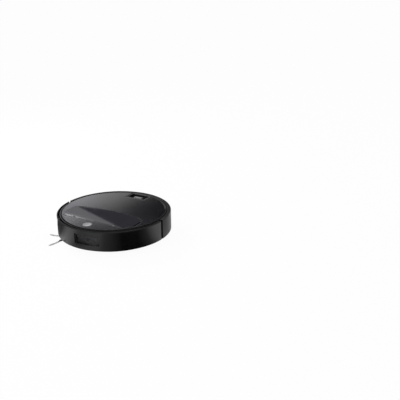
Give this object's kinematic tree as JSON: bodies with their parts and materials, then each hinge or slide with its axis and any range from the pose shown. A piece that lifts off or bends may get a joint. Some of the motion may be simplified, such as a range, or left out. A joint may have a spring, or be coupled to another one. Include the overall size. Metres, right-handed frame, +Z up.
{
  "type": "robot vacuum",
  "caption": "Low round robot vacuum and mop with a sprung bumper, glossy top hatch, drive wheels, side brush, main brush, lifting mop discs and a pull-out rear water tank.",
  "frame": {"origin": "on the floor, under the middle of the round body", "axes": "+Z up, the robot drives forward along -Y, so its own right is -X"},
  "size_m": [0.35, 0.3516, 0.08],
  "materials": {
    "deck_satin": "satin moulded top deck, dark grey",
    "hatch_gloss": "piano black gloss lid",
    "shell_black": "satin black outer shell",
    "bumper_gloss": "semi-gloss black bumper",
    "window_smoked": "infrared-clear smoked window",
    "lens_glass": "coated lens",
    "chassis_black": "textured black chassis",
    "inner_grey": "inner moulding, grey",
    "dust_clear": "smoked dust box",
    "filter_paper": "pleated filter",
    "button_silver": "pale grey gloss button",
    "rubber_black": "black rubber",
    "tyre_black": "treaded rubber",
    "bristle_pale": "pale nylon bristles",
    "metal_steel": "steel",
    "contact_brass": "plated contact",
    "battery_wrap": "wrapped cell pack, at a cell pack's density",
    "board_green": "circuit board",
    "mop_fabric": "grey microfibre pile",
    "tank_smoked": "smoked black water tank"
  },
  "bodies": {
    "chassis": {"base_pan": "chassis_black", "upper_housing": "shell_black", "top_deck": "deck_satin", "hatch_pins": "metal_steel", "service_bay": "inner_grey", "dust_box": "dust_clear", "dust_box_lid": "dust_clear", "dust_filter": "filter_paper", "button_bezel": "shell_black", "button_board": "board_green", "camera_module": "chassis_black", "camera_lens": "lens_glass", "laser_emitters": "lens_glass", "brush_bearing": "inner_grey", "brush_motor": "metal_steel", "brush_cover": "inner_grey", "side_brush_motor": "metal_steel", "fan_housing": "chassis_black", "fan_motor": "metal_steel", "battery_pack": "battery_wrap", "middle_frame": "inner_grey", "battery_door": "chassis_black", "door_screws": "metal_steel", "main_board": "board_green", "speaker": "chassis_black", "cliff_windows": "window_smoked", "charge_contacts": "contact_brass", "left_pivot_pin": "metal_steel", "left_wheel_housing": "chassis_black", "right_pivot_pin": "metal_steel", "right_wheel_housing": "chassis_black"},
    "bumper": {"bumper_shell": "bumper_gloss", "sensor_window": "window_smoked"},
    "hatch": {"hatch": "hatch_gloss"},
    "power_button": {"power_button": "button_silver"},
    "main_brush": {"main_brush_core": "inner_grey", "main_brush_fins": "rubber_black"},
    "left_arm": {"left_swing_arm": "chassis_black", "left_wheel_motor": "metal_steel"},
    "left_wheel": {"left_tyre": "tyre_black", "left_hub": "inner_grey"},
    "right_arm": {"right_swing_arm": "chassis_black", "right_wheel_motor": "metal_steel"},
    "right_wheel": {"right_tyre": "tyre_black", "right_hub": "inner_grey"},
    "caster_swivel": {"caster_fork": "chassis_black", "caster_axle": "metal_steel"},
    "caster_wheel": {"caster_wheel": "rubber_black"},
    "side_brush": {"side_brush_hub": "rubber_black", "side_brush_tufts": "bristle_pale"},
    "mop_lift": {"mop_carriage": "inner_grey", "mop_motor": "chassis_black"},
    "left_mop": {"left_mop_plate": "inner_grey", "left_mop_pad": "mop_fabric"},
    "right_mop": {"right_mop_plate": "inner_grey", "right_mop_pad": "mop_fabric"},
    "tank": {"water_tank": "tank_smoked", "tank_cap": "rubber_black"},
    "tank_latch": {"tank_latch": "inner_grey"},
    "fan": {"fan_impeller": "inner_grey"}
  },
  "joints": [
    {"name": "bumper_press", "type": "slide", "parent": "chassis", "child": "bumper", "axis": [0, 1, 0], "range_m": [0, 0.006], "stiffness_N_per_m": 300, "springref_m": -0.005},
    {"name": "hatch_hinge", "type": "hinge", "parent": "chassis", "child": "hatch", "pos_m": [0, -0.105, 0.077], "axis": [1, 0, 0], "range_deg": [0, 80]},
    {"name": "button_press", "type": "slide", "parent": "chassis", "child": "power_button", "axis": [0, 0, -1], "range_m": [0, 0.001], "stiffness_N_per_m": 600, "springref_m": -0.001},
    {"name": "main_brush_spin", "type": "hinge", "parent": "chassis", "child": "main_brush", "pos_m": [0, -0.062, 0.024], "axis": [1, 0, 0], "continuous": true},
    {"name": "left_suspension", "type": "hinge", "parent": "chassis", "child": "left_arm", "pos_m": [0.095, 0.058, 0.045], "axis": [1, 0, 0], "range_deg": [0, 18], "stiffness_Nm_per_rad": 0.4, "springref_deg": 20.05},
    {"name": "left_wheel_spin", "type": "hinge", "parent": "left_arm", "child": "left_wheel", "pos_m": [0.112, 0.004, 0.035], "axis": [1, 0, 0], "continuous": true},
    {"name": "right_suspension", "type": "hinge", "parent": "chassis", "child": "right_arm", "pos_m": [-0.095, 0.058, 0.045], "axis": [1, 0, 0], "range_deg": [0, 18], "stiffness_Nm_per_rad": 0.4, "springref_deg": 20.05},
    {"name": "right_wheel_spin", "type": "hinge", "parent": "right_arm", "child": "right_wheel", "pos_m": [-0.112, 0.004, 0.035], "axis": [1, 0, 0], "continuous": true},
    {"name": "caster_turn", "type": "hinge", "parent": "chassis", "child": "caster_swivel", "pos_m": [0, -0.128, 0.04], "axis": [0, 0, 1], "continuous": true},
    {"name": "caster_roll", "type": "hinge", "parent": "caster_swivel", "child": "caster_wheel", "pos_m": [0, -0.12, 0.016], "axis": [1, 0, 0], "continuous": true},
    {"name": "side_brush_spin", "type": "hinge", "parent": "chassis", "child": "side_brush", "pos_m": [-0.10121, -0.10481, 0.01], "axis": [0, 0, 1], "continuous": true},
    {"name": "mop_lower", "type": "slide", "parent": "chassis", "child": "mop_lift", "axis": [0, 0, -1], "range_m": [0, 0.0088]},
    {"name": "left_mop_spin", "type": "hinge", "parent": "mop_lift", "child": "left_mop", "pos_m": [0.057, 0.084, 0.02], "axis": [0, 0, 1], "continuous": true},
    {"name": "right_mop_spin", "type": "hinge", "parent": "mop_lift", "child": "right_mop", "pos_m": [-0.057, 0.084, 0.02], "axis": [0, 0, 1], "continuous": true},
    {"name": "tank_pull", "type": "slide", "parent": "chassis", "child": "tank", "axis": [0, 1, 0], "range_m": [0, 0.12]},
    {"name": "latch_press", "type": "slide", "parent": "tank", "child": "tank_latch", "axis": [0, 0, -1], "range_m": [0, 0.002], "stiffness_N_per_m": 500, "springref_m": -0.002},
    {"name": "fan_spin", "type": "hinge", "parent": "chassis", "child": "fan", "pos_m": [0.036, 0.016, 0.058], "axis": [0, 0, 1], "continuous": true}
  ],
  "couplings": [
    {"joint": "right_mop_spin", "follows": "left_mop_spin", "ratio": -1}
  ]
}
